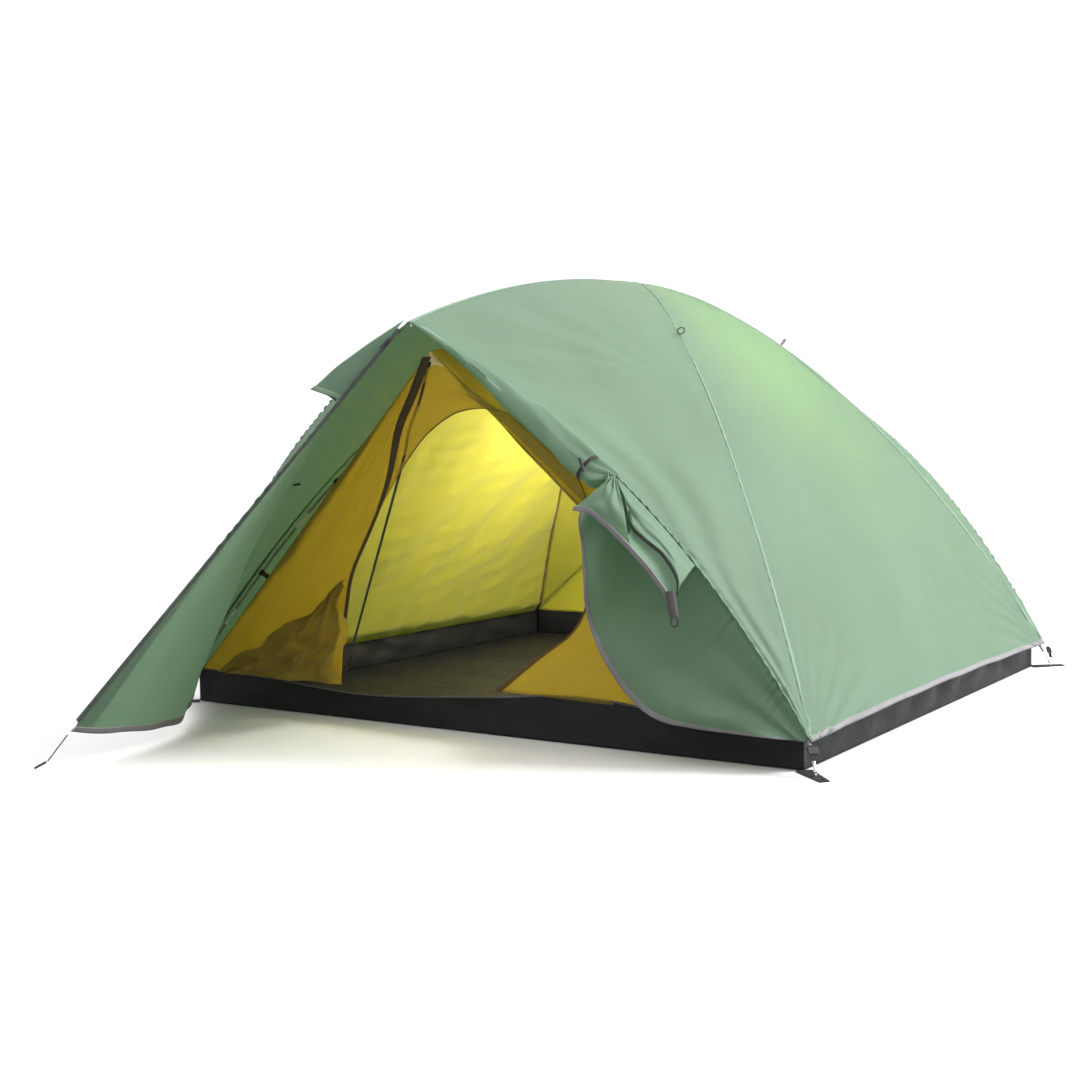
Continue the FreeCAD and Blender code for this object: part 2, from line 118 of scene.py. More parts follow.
lamp("key", (5.5, 2.0, 4.5), (0.6, 0, 0.6), 2.5, 600)
lamp("fill", (-1.0, -6.0, 2.6), (0, -0.6, 0.5), 3.0, 8)
glow = bpy.data.objects.new("inside", bpy.data.lights.new("inside", "POINT"))
glow.data.energy, glow.data.shadow_soft_size = 62, 0.25
glow.location = (0.05, 0.20, 0.78)
bpy.context.collection.objects.link(glow)
ground.visible_diffuse = False         # the pale floor throws no light back up onto the cloth

# %% [markdown]
# ## Writing shader maths as expressions
# A socket wrapped in this small class adds Math nodes when it is used in an expression, so a
# weave reads as a formula. Colours go through Mix nodes, because Math nodes turn them grey.


# %% Shader expressions
class Value:
    """A shader socket that takes part in Python expressions."""

    def __init__(self, tree, socket):
        self.tree, self.socket = tree, socket

    def math(self, operation, *others):
        node = self.tree.nodes.new("ShaderNodeMath")
        node.operation = operation
        for slot, item in zip(node.inputs, (self, *others)):
            plug(self.tree, slot, item)
        return Value(self.tree, node.outputs[0])

    def __add__(self, other):
        return self.math("ADD", other)

    __radd__ = __add__

    def __mul__(self, other):
        return self.math("MULTIPLY", other)

    __rmul__ = __mul__

    def __sub__(self, other):
        return self.math("SUBTRACT", other)

    def __rsub__(self, other):
        return (self * -1) + other

    def __gt__(self, other):
        return self.math("GREATER_THAN", other)


def plug(tree, slot, item):
    if isinstance(item, Value):
        tree.links.new(item.socket, slot)
    elif isinstance(item, bpy.types.NodeSocket):
        tree.links.new(item, slot)
    else:
        slot.default_value = item


def node(tree, kind, settings=None, **inputs):
    """Any shader node: its settings first, then values or links for its named sockets."""
    made = tree.nodes.new("ShaderNode" + kind)
    for key, value in (settings or {}).items():
        setattr(made, key, value)
    for key, value in inputs.items():
        plug(tree, made.inputs[key.replace("_", " ")], value)
    return made


def blend_colour(tree, factor, one, two):
    mixed = node(tree, "Mix", {"data_type": "RGBA"})
    plug(tree, mixed.inputs[0], factor)
    plug(tree, mixed.inputs[6], one)
    plug(tree, mixed.inputs[7], two)
    return mixed.outputs[2]


def start(name):
    """An empty material with its tree, its output and a Principled shader."""
    material = bpy.data.materials.new(name)
    material.use_nodes = True
    tree = material.node_tree
    tree.nodes.clear()
    out = tree.nodes.new("ShaderNodeOutputMaterial")
    shader = tree.nodes.new("ShaderNodeBsdfPrincipled")
    tree.links.new(shader.outputs[0], out.inputs[0])
    return material, tree, out, shader


def shade(colour, gain):
    return tuple(min(1.0, c * gain) for c in colour[:3]) + (1,)


# %% [markdown]
# ## Tent cloth
# Both tents are thin plain-weave cloth, so light passes through and the inside glows. A
# Principled shader carries the face and a Translucent one the light from behind. The UV map
# is in metres, so the weave, the ripstop lines and the soft crinkle keep their real size.


# %% Cloth finish
THREAD_RATE = 5200             # radians a metre: a thread every 1.2 mm
RIPSTOP_RATE, RIPSTOP_FROM = 630, 0.985    # a thicker thread every 10 mm


def cloth_finish(name, colour, through, glow, rough=0.55, crinkle=0.35):
    """Plain weave. through is the share of light that passes, and glow is its colour."""
    material, tree, out, shader = start(name)
    uv = node(tree, "UVMap", {"uv_map": "cloth"}).outputs[0]
    place = node(tree, "TexCoord").outputs["Object"]
    broad = node(tree, "TexNoise", None, Vector=place, Scale=2.2, Detail=3.0).outputs[0]
    fine = node(tree, "TexNoise", None, Vector=place, Scale=38.0, Detail=4.0).outputs[0]
    axes = node(tree, "SeparateXYZ", None, Vector=uv)
    across, along = Value(tree, axes.outputs[0]), Value(tree, axes.outputs[1])
    threads = (across * THREAD_RATE).math("SINE") * (along * THREAD_RATE).math("SINE")
    lines = ((across * RIPSTOP_RATE).math("SINE") > RIPSTOP_FROM) + (
        (along * RIPSTOP_RATE).math("SINE") > RIPSTOP_FROM)
    tone = blend_colour(tree, broad, shade(colour, 0.86), shade(colour, 1.12))
    grain = Value(tree, fine) * 0.22 + (threads * 0.10)
    tone = blend_colour(tree, grain, tone, shade(colour, 0.70))
    tree.links.new(tone, shader.inputs["Base Color"])
    plug(tree, shader.inputs["Roughness"], Value(tree, fine) * 0.25 + (rough - 0.12))
    shader.inputs["Sheen Weight"].default_value = 0.25 if through else 0.0
    shader.inputs["Specular IOR Level"].default_value = 0.35 if through else 0.18
    crumple = node(tree, "TexNoise", None, Vector=place, Scale=13.0, Detail=5.0, Distortion=0.6)
    height = Value(tree, crumple.outputs[0]) * crinkle + threads * 0.012 + lines * 0.02
    bump = node(tree, "Bump", None, Height=height, Strength=0.5, Distance=0.012)
    tree.links.new(bump.outputs[0], shader.inputs["Normal"])
    if through:
        back = node(tree, "BsdfTranslucent", None, Color=shade(glow, 1.0))
        tree.links.new(bump.outputs[0], back.inputs["Normal"])
        mixed = node(tree, "MixShader")
        mixed.inputs[0].default_value = through
        tree.links.new(shader.outputs[0], mixed.inputs[1])
        tree.links.new(back.outputs[0], mixed.inputs[2])
        tree.links.new(mixed.outputs[0], out.inputs[0])
    return material


FLY_GREEN = (0.250, 0.374, 0.272)
INNER_YELLOW = (0.64, 0.585, 0.085)
# The darker gold is the inner yellow again, with a dimmer glow through it: painted shade for inner cloth
# in shadow, on the front roof panels, the front walls and the dropped door.
INNER_YELLOW_SHADED = (0.50, 0.41, 0.080)
fly_cloth = cloth_finish("fly_cloth", FLY_GREEN, 0.42, (0.52, 0.74, 0.54))
inner_cloth = cloth_finish("inner_cloth", INNER_YELLOW, 0.55, (0.98, 0.92, 0.14), rough=0.7)
shaded_inner_cloth = cloth_finish("inner_cloth_painted_shade", INNER_YELLOW_SHADED, 0.50, (0.80, 0.66, 0.13), rough=0.7)
floor_cloth = cloth_finish("floor_cloth", (0.019, 0.019, 0.021), 0.0, (0, 0, 0), rough=0.5,
                           crinkle=0.8)
print("cloth finishes made")

# %% [markdown]
# ## Bindings, webbing and zip tape
# Woven tape shows ribs across it and a row of stitches near each edge. The UV map runs along
# the tape in metres and across it from 0 to 1, so both stay in step with its width.


# %% Tape finish
STITCH_FROM, STITCH_TO = 0.28, 0.36        # a row's place between the tape's middle and its edge
STITCH_RATE = 1500             # radians a metre: a stitch every 4 mm


def tape_finish(name, colour, rib=2600, stitch=None, rough=0.8, packed=False):
    """A woven tape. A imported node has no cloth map, so its ribs read its place instead."""
    material, tree, _, shader = start(name)
    place = node(tree, "TexCoord").outputs["Object"]
    uv = place if packed else node(tree, "UVMap", {"uv_map": "cloth"}).outputs[0]
    axes = node(tree, "SeparateXYZ", None, Vector=uv)
    across, along = Value(tree, axes.outputs[0]), Value(tree, axes.outputs[2 if packed else 1])
    ribs = (along * rib).math("SINE")
    worn = node(tree, "TexNoise", None, Vector=place, Scale=30.0, Detail=3.0).outputs[0]
    tone = blend_colour(tree, worn, shade(colour, 0.75), shade(colour, 1.25))
    height = ribs * 0.3
    if stitch:
        edge = (across - 0.5).math("ABSOLUTE")
        row = (edge > STITCH_FROM) * (1 - (edge > STITCH_TO))
        dash = (along * STITCH_RATE).math("SINE") > -0.2
        tone = blend_colour(tree, row * dash, tone, shade(stitch, 1.0))
        height = height + row * dash * 1.2 - row * 0.8
    tree.links.new(tone, shader.inputs["Base Color"])
    plug(tree, shader.inputs["Roughness"], Value(tree, worn) * 0.2 + (rough - 0.1))
    bump = node(tree, "Bump", None, Height=height, Strength=0.6, Distance=0.0008)
    tree.links.new(bump.outputs[0], shader.inputs["Normal"])
    return material


hem_tape = tape_finish("hem_tape", (0.30, 0.29, 0.30), stitch=(0.20, 0.20, 0.21))
seam_tape = tape_finish("seam_tape", shade(FLY_GREEN, 0.92), stitch=shade(FLY_GREEN, 0.62))
gold_seam = tape_finish("gold_seam", (0.17, 0.095, 0.025), stitch=(0.09, 0.05, 0.015))
tray_piping = tape_finish("tray_piping", (0.13, 0.13, 0.13), stitch=(0.06, 0.06, 0.06))
zip_tape = tape_finish("zip_tape", (0.05, 0.06, 0.05), stitch=(0.02, 0.02, 0.02))
packed_zip = tape_finish("packed_zip_tape", (0.05, 0.06, 0.05), packed=True)
webbing = tape_finish("webbing", (0.02, 0.02, 0.02), rib=4200, packed=True)

# %% [markdown]
# ## Hard finishes
# Drawn pole tube is grey with faint lengthwise streaks. The sleeves and ball ends are bare
# bright metal. Clips, buckles and toggles are moulded black plastic with a fine texture.


# %% Hard finishes
def hard_finish(name, colour, metallic, rough, streak=(40, 40, 40), grain=0.3):
    material, tree, _, shader = start(name)
    place = node(tree, "TexCoord").outputs["Object"]
    stretched = node(tree, "Mapping", None, Vector=place, Scale=streak).outputs[0]
    mottle = node(tree, "TexNoise", None, Vector=stretched, Scale=1.0, Detail=5.0).outputs[0]
    pits = node(tree, "TexNoise", None, Vector=place, Scale=900.0, Detail=2.0).outputs[0]
    tone = blend_colour(tree, mottle, shade(colour, 0.75), shade(colour, 1.2))
    tree.links.new(tone, shader.inputs["Base Color"])
    plug(tree, shader.inputs["Roughness"], Value(tree, mottle) * 0.25 + (rough - 0.1))
    shader.inputs["Metallic"].default_value = metallic
    bump = node(tree, "Bump", None, Height=pits, Strength=grain, Distance=0.0004)
    tree.links.new(bump.outputs[0], shader.inputs["Normal"])
    return material


pole_tube = hard_finish("pole_tube", (0.34, 0.35, 0.35), 0.2, 0.42)
bright_metal = hard_finish("bright_metal", (0.80, 0.80, 0.79), 1.0, 0.28, grain=0.1)
black_plastic = hard_finish("black_plastic", (0.022, 0.022, 0.024), 0.0, 0.45)
elastic = hard_finish("elastic", (0.03, 0.03, 0.03), 0.0, 0.8, (400, 400, 400), 0.8)

FINISH = {
    "pole_tube": pole_tube, "pole_metal": bright_metal, "black_plastic": black_plastic,
    "zip_metal": black_plastic, "elastic": elastic, "webbing": webbing, "zip_tape": packed_zip,
}
wears = {part["node"]: part["material_slot"] for part in frame["record"]["subparts"]}
for name, thing in frame["nodes"].items():
    finish = FINISH.get(wears[name])
    if finish:
        thing.data.materials.clear()
        thing.data.materials.append(finish)

pale, tree, _, shader = start("pale_floor")
shader.inputs["Base Color"].default_value = (0.93, 0.93, 0.93, 1)
shader.inputs["Roughness"].default_value = 0.9
ground.data.materials.append(pale)

# %% [markdown]
# ## The poles' own curve
# Every panel of cloth hangs between pole lines, so the first thing to have is the curve of a
# pole: five tangent arcs from the crown to the foot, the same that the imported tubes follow.

# %% Pole curve
FLOOR_HALF = np.array([1.050, 0.975])
DIAGONAL = FLOOR_HALF / np.hypot(*FLOOR_HALF)
CROWN, LOW_CROWN = 1.316, 1.305
POLE_ARCS = [(0.2955, 26.0), (0.394, 12.0), (0.44325, 8.0), (0.44325, 7.0), (0.4925, 5.0)]
CORNERS = {"a": (-1, -1), "b": (1, -1), "c": (1, 1), "d": (-1, 1)}
RIDGE_HALF, RIDGE_TOP, RIDGE_END = 1.160, 1.3265, 1.136
FLY_OUT, INNER_IN, HEM_AT = 0.0125, 0.060, 1.985


def point(*parts):
    """Stack coordinate arrays, of any shapes that match, into points."""
    return np.stack(np.broadcast_arrays(*parts), axis=-1).astype(float)


def pole(length, out=0.0, crown=CROWN):
    """Reach along the diagonal and height, at lengths down a pole, moved out along its normal."""
    left = np.maximum(np.asarray(length, float), 0)
    reach, drop, angle = np.zeros_like(left), np.zeros_like(left), np.zeros_like(left)
    for long, turn in POLE_ARCS:
        radius = long / math.radians(turn)
        step = np.clip(left, 0, long) / radius
        reach = reach + radius * (np.sin(angle + step) - np.sin(angle))
        drop = drop + radius * (np.cos(angle) - np.cos(angle + step))
        angle, left = angle + step, np.maximum(left - long, 0)
    return reach + out * np.sin(angle), crown - drop + out * np.cos(angle)


def ridge(y, lift=0.0):
    rise = RIDGE_TOP - RIDGE_END
    radius = (RIDGE_HALF ** 2 + rise ** 2) / (2 * rise)
    return point(y * 0.0, y, RIDGE_TOP - radius + np.sqrt(radius ** 2 - y ** 2) + lift)


def crease(corner, length):
    """The fly over a pole. It lifts a little at the crown, where the ridge pole is on top."""
    reach, high = pole(length, FLY_OUT)
    high = high + 0.0105 * np.exp(-(np.asarray(length) / 0.13) ** 2)
    sx, sy = CORNERS[corner]
    return point(sx * DIAGONAL[0] * reach, sy * DIAGONAL[1] * reach, high)


def inner_crease(corner, part):
    """The inner tent's edge under a pole, from its crown to the top of the floor's wall."""
    sx, sy = CORNERS[corner]
    reach, high = pole(np.minimum(part / 0.93, 1) * 1.85, -INNER_IN, LOW_CROWN)
    line = point(sx * DIAGONAL[0] * reach, sy * DIAGONAL[1] * reach, high)
    foot = np.array([sx * (FLOOR_HALF[0] - 0.006), sy * (FLOOR_HALF[1] - 0.005), 0.098])
    late = np.clip((np.asarray(part) - 0.93) / 0.07, 0, 1)[..., None]
    return line * (1 - late) + foot * late


print("pole reaches", pole(sum(length for length, _ in POLE_ARCS)))

# %% [markdown]
# ## Ripple
# Cloth is never quite smooth. A few long sine waves in fixed directions add up to a soft,
# repeatable unevenness, and a comb of short waves near a seam gives the puckers that a row of
# stitches pulls in.


# %% Ripple and pucker
def ripple(u, v, size, seed):
    """A smooth unevenness between about -1 and 1, with waves about size metres long."""
    spin = np.random.default_rng(seed)
    total = 0
    for _ in range(7):
        turn, phase = spin.uniform(0, math.tau, 2)
        wave = math.tau / (size * spin.uniform(0.7, 1.6))
        total = total + np.sin((u * math.cos(turn) + v * math.sin(turn)) * wave + phase)
    return total / 3.5


def pucker(along, away, pitch=0.034, reach=0.035, seed=1):
    """Stitch puckers: short folds across a seam that die out away from it."""
    uneven = ripple(along, away * 0.3, 0.11, seed)
    wave = np.sin(along * math.tau / pitch + 2.2 * uneven)
    return wave * np.exp(-(away / reach)) * (0.6 + 0.5 * uneven)


# %% [markdown]
# ## A sheet from two edges
# A sewn panel is held along its edges, so each one is described by a function of two numbers
# from 0 to 1.


# %% Sheets in mesh code
CLOTH_THICK = 0.0007


def grid(surface, rows, columns):
    """The points of a surface at evenly spaced parameters."""
    u, v = np.meshgrid(np.linspace(0, 1, rows), np.linspace(0, 1, columns), indexing="ij")
    return surface(u, v)


def normals(surface, u, v, out):
    """Unit normals of a surface, turned to the same side as out."""
    e = 2e-3
    du = surface(np.minimum(u + e, 1), v) - surface(np.maximum(u - e, 0), v)
    dv = surface(u, np.minimum(v + e, 1)) - surface(u, np.maximum(v - e, 0))
    n = np.cross(du, dv)
    size = np.linalg.norm(n, axis=-1, keepdims=True)
    n = np.where(size > 1e-12, n / np.maximum(size, 1e-12), np.asarray(out, float))
    return n * np.where((n @ np.asarray(out, float))[..., None] < 0, -1, 1)


def steps(points, axis):
    long = np.linalg.norm(np.diff(points, axis=axis), axis=-1)
    return np.concatenate([np.zeros_like(np.take(long, [0], axis)), np.cumsum(long, axis)], axis)


def lay_grid(name, points, finish, out, thick, uv=None):
    """A mesh from a grid of points, facing out, solidified, with a UV map in metres."""
    rows, columns = points.shape[:2]
    if uv is None:
        uv = np.stack([steps(points, 1), steps(points, 0)], axis=-1)
    index = np.arange(rows * columns).reshape(rows, columns)
    quads = np.stack([index[:-1, :-1], index[1:, :-1], index[1:, 1:], index[:-1, 1:]], -1).reshape(-1, 4)
    flat = points.reshape(-1, 3)
    facing = np.cross(flat[quads[:, 2]] - flat[quads[:, 0]], flat[quads[:, 3]] - flat[quads[:, 1]])
    if (facing @ np.asarray(out, float)).sum() < 0:
        quads = quads[:, ::-1]
    area = np.linalg.norm(facing, axis=1).sum() / 2
    mesh = bpy.data.meshes.new(name)
    mesh.from_pydata(flat.tolist(), [], quads.tolist())
    layer = mesh.uv_layers.new(name="cloth")
    layer.data.foreach_set("uv", uv.reshape(-1, 2)[quads.ravel()].ravel())
    mesh.polygons.foreach_set("use_smooth", [True] * len(quads))
    mesh.materials.append(finish)
    piece = bpy.data.objects.new(name, mesh)
    bpy.context.collection.objects.link(piece)
    if thick:
        shell = piece.modifiers.new("thickness", "SOLIDIFY")
        shell.thickness, shell.offset = thick, 0.0
    return piece, area, (steps(points, 1)[:, -1].max(), steps(points, 0)[-1].max())


def panel(name, surface, out, finish, nodes=(), size=(130, 90),
          rides="tent"):
    """A cloth panel that replaces its packed stand-ins and prints its size and area."""
    piece, area, flat = lay_grid(name, grid(surface, *size), finish, out, CLOTH_THICK)
    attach(piece, rides)
    if nodes:
        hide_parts(*nodes)
    wide, long = (round(float(x) + 0.0005, 3) for x in flat)
    if area < 0.32 * wide * long:      # it tapers, so its widest row says too much about it
        wide = round(area / (0.5 * long), 3)
    print(f"{name}: {wide} by {long} m, {area:.2f} square metres of cloth")
    return piece


def band(name, surface, out, finish, edge, wide, lift=0.0012, thick=0.0012, count=240,
         span=(0, 1)):
    """A narrow tape along one edge of a panel: edge is (axis, value), wide in that parameter."""
    axis, value = edge
    along = np.linspace(*span, count)
    inward = np.linspace(0, 1, 5)
    side = value + inward * wide if value < 0.5 else value - (1 - inward) * wide
    u, v = np.meshgrid(along, side, indexing="ij")
    if axis == "a":
        u, v = v, u
    points = surface(u, v) + normals(surface, u, v, out) * lift
    uv = np.stack([np.broadcast_to(inward, u.shape), steps(points, 0)], axis=-1)
    piece, _, _ = lay_grid(name, points, finish, out, thick, uv)
    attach(piece, "tent")
    return piece


def turned(surface):
    """The same panel at the rear: half a turn about the upright axis."""
    def rear(u, v):
        return surface(u, v) * np.array([-1, -1, 1])
    return rear


# %% [markdown]
# ## The two ends of the fly
# Each long end is one sheet stretched between two poles. Pulled both ways, it dips in a little
# between them, and it wrinkles along its seams and near the corners, where the straps pull.


# %% Fly ends
def smooth(x, low, high):
    t = np.clip((x - low) / (high - low), 0, 1)
    return t * t * (3 - 2 * t)


def end_surface(near, far, seed):
    side = CORNERS[near][0]
    out = np.array([side * 0.80, 0, 0.60])

    def surface(u, v):
        one, two = crease(near, u * HEM_AT), crease(far, u * HEM_AT)
        base = one * (1 - v[..., None]) + two * v[..., None]
        wide = np.linalg.norm(two - one, axis=-1)
        edge = np.minimum(v, 1 - v) * wide
        down, across = u * HEM_AT, v * wide
        dip = 0.030 * 4 * v * (1 - v) * np.sin(np.clip(u, 0, 1) * math.pi) ** 0.8
        long_folds = ripple(across, down * 0.25, 0.22, seed) * 0.0030 * smooth(u, 0.1, 0.4)
        fans = np.sin(np.arctan2(edge + 0.02, (1 - u) * HEM_AT + 0.05) * 26 + seed) * 0.0045
        fans = fans * np.exp(-(((1 - u) * HEM_AT) / 0.30) ** 2 - (edge / 0.35) ** 2)
        stitch = pucker(down, edge, 0.045, 0.030, seed) * 0.0016
        sag_hem = 0.012 * smooth(u, 0.9, 1.0) * np.sin(v * math.pi)
        move = -dip + long_folds + fans + stitch + ripple(across, down, 0.5, seed + 3) * 0.004
        move = move * np.minimum(1, edge / 0.02 + 0.15)
        base[..., 2] += sag_hem
        return base + move[..., None] * out

    return surface, out


ends = {}
for name, near, far in (("right", "b", "c"), ("left", "a", "d")):
    surface, out = end_surface(near, far, 11 if name == "right" else 23)
    ends[name] = (surface, out)
    panel("fly_end_cloth_" + name, surface, out, fly_cloth, ["fly_end_" + name], size=(170, 120))

# %% [markdown]
# ## The fly's front and rear
# Between the ridge and one pole the fly is a long triangle whose third side is the door seam.
# That seam arches from the tip of the ridge pole down to the corner, so it is drawn with
# rounded puckers and a few long folds that fan out from the corner.

# %% Fly front and rear
RIDGE_TIP = np.array([0.0, -1.175, 1.143])
SEAM_RISE, SEAM_SKEW = 0.105, 0.430
TIP_SHARE = 0.42
SMOOTHING = 0.09


def seam(corner, part):
    sy = CORNERS[corner][1]
    tip = RIDGE_TIP * np.array([1, -sy, 1])
    end = crease(corner, np.array(HEM_AT))
    part = np.asarray(part, float)[..., None]
    rise = part * (1 - part) * (4 * SEAM_RISE + SEAM_SKEW * part)
    return tip + (end - tip) * part + rise * np.array([0, 0, 1])


def far_side(corner, u):
    """Along the ridge to its tip, then down the door seam."""
    sy = CORNERS[corner][1]
    top = ridge(sy * np.clip(u / TIP_SHARE, 0, 1) * RIDGE_HALF, 0.0125)
    top = top + (np.clip(u / TIP_SHARE, 0, 1) ** 6)[..., None] * (
        RIDGE_TIP * np.array([1, -sy, 1]) - ridge(np.array(sy * RIDGE_HALF), 0.0125))
    low = seam(corner, np.clip((u - TIP_SHARE) / (1 - TIP_SHARE), 0, 1))
    return np.where((u < TIP_SHARE)[..., None], top, low)


def body_surface(corner, seed):
    sx, sy = CORNERS[corner]
    out = np.array([sx * 0.45, sy * 0.55, 0.70])

    def surface(u, v):
        near = crease(corner, u * HEM_AT)
        far = far_side(corner, u)
        eased = sum(far_side(corner, np.clip(u + k * SMOOTHING / 4, 0, 1)) for k in range(-4, 5)) / 9
        ends = (np.clip(u / SMOOTHING, 0, 1) * np.clip((1 - u) / SMOOTHING, 0, 1))[..., None]
        sharp = (v ** 3)[..., None] * ends + (1 - ends)
        far = eased * (1 - sharp) + far * sharp
        base = near * (1 - v[..., None]) + far * v[..., None]
        wide = np.linalg.norm(far - near, axis=-1)
        edge, seam_off = v * wide, (1 - v) * wide
        down = u * HEM_AT * 1.3
        on_seam = smooth(u, TIP_SHARE, TIP_SHARE + 0.06)
        puffs = 0.012 * np.sin(v * math.pi) * np.sin(u * math.pi)
        stitch = pucker(down, edge, 0.05, 0.03, seed) * 0.0015
        stitch = stitch + pucker(down, seam_off, 0.030, 0.055, seed + 1) * 0.0042 * on_seam
        angle = np.arctan2(seam_off + 0.01, (1 - u) * HEM_AT + 0.10)
        fans = np.sin(angle * 22 + seed + 2 * ripple(edge, down, 0.6, seed)) * 0.0075
        fans = fans * np.exp(-(((1 - u) * HEM_AT - 0.42) / 0.40) ** 2) * np.sin(v * math.pi)
        tip = np.sin(np.arctan2(edge, np.abs(u - TIP_SHARE) * 1.9 + 0.05) * 18 + seed) * 0.0035
        tip = tip * np.exp(-((u - TIP_SHARE) / 0.16) ** 2) * v ** 2 * (1 - v) * 6
        loose = ripple(edge, down * 0.6, 0.30, seed + 2) * 0.0045
        loose = loose + ripple(edge, down, 0.09, seed) * 0.0007
        move = puffs + fans + tip + loose
        move = move * np.minimum(1, edge / 0.05) * np.minimum(1, seam_off / 0.04) + stitch
        return base + move[..., None] * out

    return surface, out


bodies = {}
for corner, name in (("a", "front_left"), ("b", "front_right"), ("c", "rear_right"), ("d", "rear_left")):
    surface, out = body_surface(corner, 31 + ord(corner))
    bodies[corner] = (surface, out)
    panel("fly_body_cloth_" + name, surface, out, fly_cloth, ["fly_body_" + name], size=(220, 110))

# %% [markdown]
# ## The vestibules
# The fly runs out from the ridge tip to a peg. The front left side stays up and hangs slack,
# its hem scooped towards the doorway. At the rear both sides are closed.

# %% Vestibules
CREST_HEM = np.array([-0.580, -1.860, 0.094])
SLACK = np.array([0.150, 0.030, -0.050])


def side_surface(corner, crest, slack, seed):
    sx, sy = CORNERS[corner]
    out = np.array([sx * 0.45, sy * 0.55, 0.70])
    tip = RIDGE_TIP * np.array([1, -sy, 1])

    def surface(u, v):
        line = tip + (crest - tip) * u[..., None]
        line = line + np.array([0, 0, 0.014]) * np.sin(u * math.pi)[..., None]
        far = seam(corner, u)
        base = line * (1 - v[..., None]) + far * v[..., None]
        wide = np.linalg.norm(far - line, axis=-1)
        down, across = u * 1.4, v * wide
        base = base + slack * (4 * v * (1 - v) * u ** 1.7)[..., None]
        folds = np.sin(np.arctan2(across, down + 0.05) * 19 + seed) * 0.010 * np.sin(v * math.pi) * u
        folds = folds + ripple(across, down * 0.5, 0.25, seed) * 0.008 * np.sin(v * math.pi)
        folds = folds + pucker(down, (1 - v) * wide, 0.03, 0.04, seed) * 0.0035
        folds = folds + pucker(down, v * wide, 0.04, 0.03, seed + 4) * 0.002
        return base + (folds * np.minimum(1, u / 0.08))[..., None] * out

    return surface, out


REAR_CREST = CREST_HEM * np.array([-1, -1, 1])
left_side, left_out = side_surface("a", CREST_HEM, SLACK, 5)
rear_right, rear_out = turned(left_side), left_out * np.array([-1, -1, 1])
rear_door, rear_door_out = side_surface("d", REAR_CREST, np.array([-0.01, 0.02, 0.0]), 8)
panel("vestibule_front_cloth", left_side, left_out, fly_cloth, ["vestibule_front_left"])
panel("vestibule_rear_cloth", rear_right, rear_out, fly_cloth, ["vestibule_rear_right"])
panel("vestibule_rear_door_cloth", rear_door, rear_door_out, fly_cloth, ["vestibule_rear_door"])

# %% [markdown]
# ## The open door
# The door is rolled up along its seam and tied a little below half way. Above the tie it is a
# roll of two long soft folds, pinched into pleats at its end. Below the tie the cloth opens out
# again and hangs as a flap down to the corner, with a taped edge.

# %% The rolled part
TIE_PART = 0.535
OUT_B = np.array([0.45, -0.55, 0.70])


def roll_surface(u, v):
    """Round the roll with v, and from the ridge tip to the tie with u: two long soft folds."""
    part = 0.012 + u * TIE_PART
    spine = seam("b", part)
    deep = 0.006 + 0.040 * smooth(u, 0.0, 0.80) + 0.003 * np.sin(u * 17) * u
    deep = deep * (1 - 0.62 * smooth(u, 0.90, 1.0))
    hang = np.array([-0.12, -0.42, -0.90])
    spine = spine + hang * (deep - 0.010)[..., None]
    turn = v * math.tau
    fold = 0.16 * np.cos(2 * turn + 0.6) + 0.13 * np.cos(3 * turn - 0.4 - u * 2.2)
    lump = 1 + fold + 0.05 * np.sin(5 * turn - u * 15)
    lump = lump + 0.05 * ripple(u * 1.2, v * 0.3, 0.14, 3)
    pleat = np.sin(9 * turn + 3 * u) * 0.16 * smooth(u, 0.78, 1.0)
    out = np.array([0.20, -0.90, 0.38])
    return spine + (np.cos(turn) * deep * (lump + pleat) * 0.52)[..., None] * out + (
        np.sin(turn) * deep * (lump + pleat) * 1.02)[..., None] * hang


piece, area, _ = lay_grid("door_roll_cloth", grid(roll_surface, 150, 49), fly_cloth, OUT_B, 0)
bpy.context.view_layer.objects.active = piece
piece.select_set(True)
bpy.ops.object.mode_set(mode="EDIT")
bpy.ops.mesh.select_all(action="SELECT")
bpy.ops.mesh.remove_doubles(threshold=0.00005)
bpy.ops.mesh.fill_holes(sides=60)
bpy.ops.mesh.normals_make_consistent(inside=False)
bpy.ops.object.mode_set(mode="OBJECT")
piece.select_set(False)
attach(piece, "tent")
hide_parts("door_roll")
print("door roll", round(area, 3), "square metres of outer cloth")

# %% The hanging flap
FLAP_EDGE = np.array([          # the flap's free edge, from the tie round to the corner
    [0.590, -1.118, 0.712], [0.532, -1.178, 0.640], [0.532, -1.175, 0.579], [0.534, -1.170, 0.531],
    [0.536, -1.160, 0.489], [0.534, -1.150, 0.448], [0.527, -1.140, 0.370], [0.547, -1.130, 0.311],
    [0.585, -1.115, 0.235], [0.640, -1.110, 0.160], [0.710, -1.105, 0.112], [0.820, -1.085, 0.100],
    [0.940, -1.055, 0.090], [1.068, -1.003, 0.080]])


def smooth_line(points, t):
    """A soft curve through a list of points, at parts t of its length."""
    at = np.concatenate([[0], np.cumsum(np.linalg.norm(np.diff(points, axis=0), axis=1))])
    at = at / at[-1]
    t = np.asarray(t, float)
    total = sum(np.stack([np.interp(np.clip(t + k * 0.02, 0, 1), at, points[:, i]) for i in range(3)], -1)
                for k in range(-2, 3)) / 5
    ends = np.clip(np.minimum(t, 1 - t) / 0.05, 0, 1)[..., None]
    exact = np.stack([np.interp(t, at, points[:, i]) for i in range(3)], -1)
    return total * ends + exact * (1 - ends)


